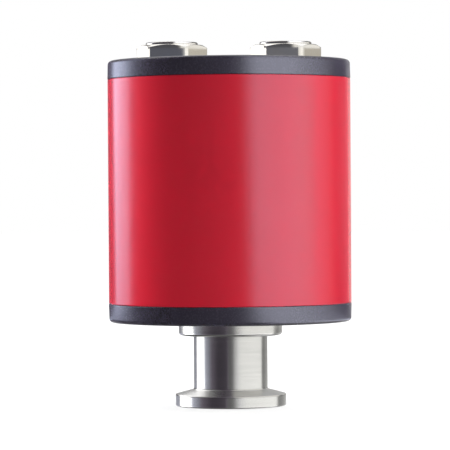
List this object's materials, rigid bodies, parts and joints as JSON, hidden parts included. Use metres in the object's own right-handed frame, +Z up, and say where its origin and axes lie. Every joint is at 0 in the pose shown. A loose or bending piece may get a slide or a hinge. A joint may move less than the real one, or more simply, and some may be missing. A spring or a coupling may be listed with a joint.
{
  "type": "pirani vacuum gauge",
  "caption": "Cylindrical Pirani vacuum gauge: painted sleeve between moulded caps, on a turned clamp-flange vacuum port, with round threaded cable sockets on top.",
  "frame": {"origin": "centre of the clamp flange's sealing face, on which the gauge stands", "axes": "+Z up along the gauge's axis from the flange to the cable sockets; the sockets lie along X and the front faces -Y"},
  "size_m": [0.0658, 0.0658, 0.0984],
  "materials": {
    "stainless": "turned",
    "sleeve_paint": "satin",
    "cap_plastic": "satin",
    "socket_nickel": "satin",
    "insert_plastic": "matte",
    "contact_gold": "polished",
    "seal_rubber": "matte",
    "screw_steel": "satin",
    "header_alloy": "satin",
    "seal_glass": "gloss",
    "tungsten": "satin",
    "plate_aluminium": "satin",
    "column_brass": "satin",
    "board_laminate": "satin",
    "chip_plastic": "matte",
    "probe_ceramic": "matte"
  },
  "bodies": {
    "root": {"flange_body": "stainless", "feedthrough_header": "header_alloy", "glass_seals": "seal_glass", "filament_posts": "header_alloy", "filament": "tungsten", "collar_seal": "seal_rubber", "lower_cap": "cap_plastic", "lower_cap_seal": "seal_rubber", "base_plate": "plate_aluminium", "spigot_nut": "stainless", "housing_sleeve": "sleeve_paint", "upper_cap": "cap_plastic", "upper_cap_seal": "seal_rubber", "cap_screws": "screw_steel", "lower_columns": "column_brass", "middle_columns": "column_brass", "upper_columns": "column_brass", "sensor_board": "board_laminate", "main_board": "board_laminate", "connector_board": "board_laminate", "temperature_probe": "probe_ceramic", "bridge_amplifiers": "chip_plastic", "microcontroller": "chip_plastic", "power_converter": "chip_plastic", "electrolytic_capacitors": "plate_aluminium", "lower_link_socket": "insert_plastic", "lower_link_bar": "insert_plastic", "lower_link_pins": "contact_gold", "upper_link_socket": "insert_plastic", "upper_link_bar": "insert_plastic", "upper_link_pins": "contact_gold", "left_socket_shell": "socket_nickel", "left_socket_insert": "insert_plastic", "left_socket_contacts": "contact_gold", "left_socket_seal": "seal_rubber", "left_socket_nut": "socket_nickel", "right_socket_shell": "socket_nickel", "right_socket_insert": "insert_plastic", "right_socket_contacts": "contact_gold", "right_socket_seal": "seal_rubber", "right_socket_nut": "socket_nickel"}
  },
  "joints": []
}
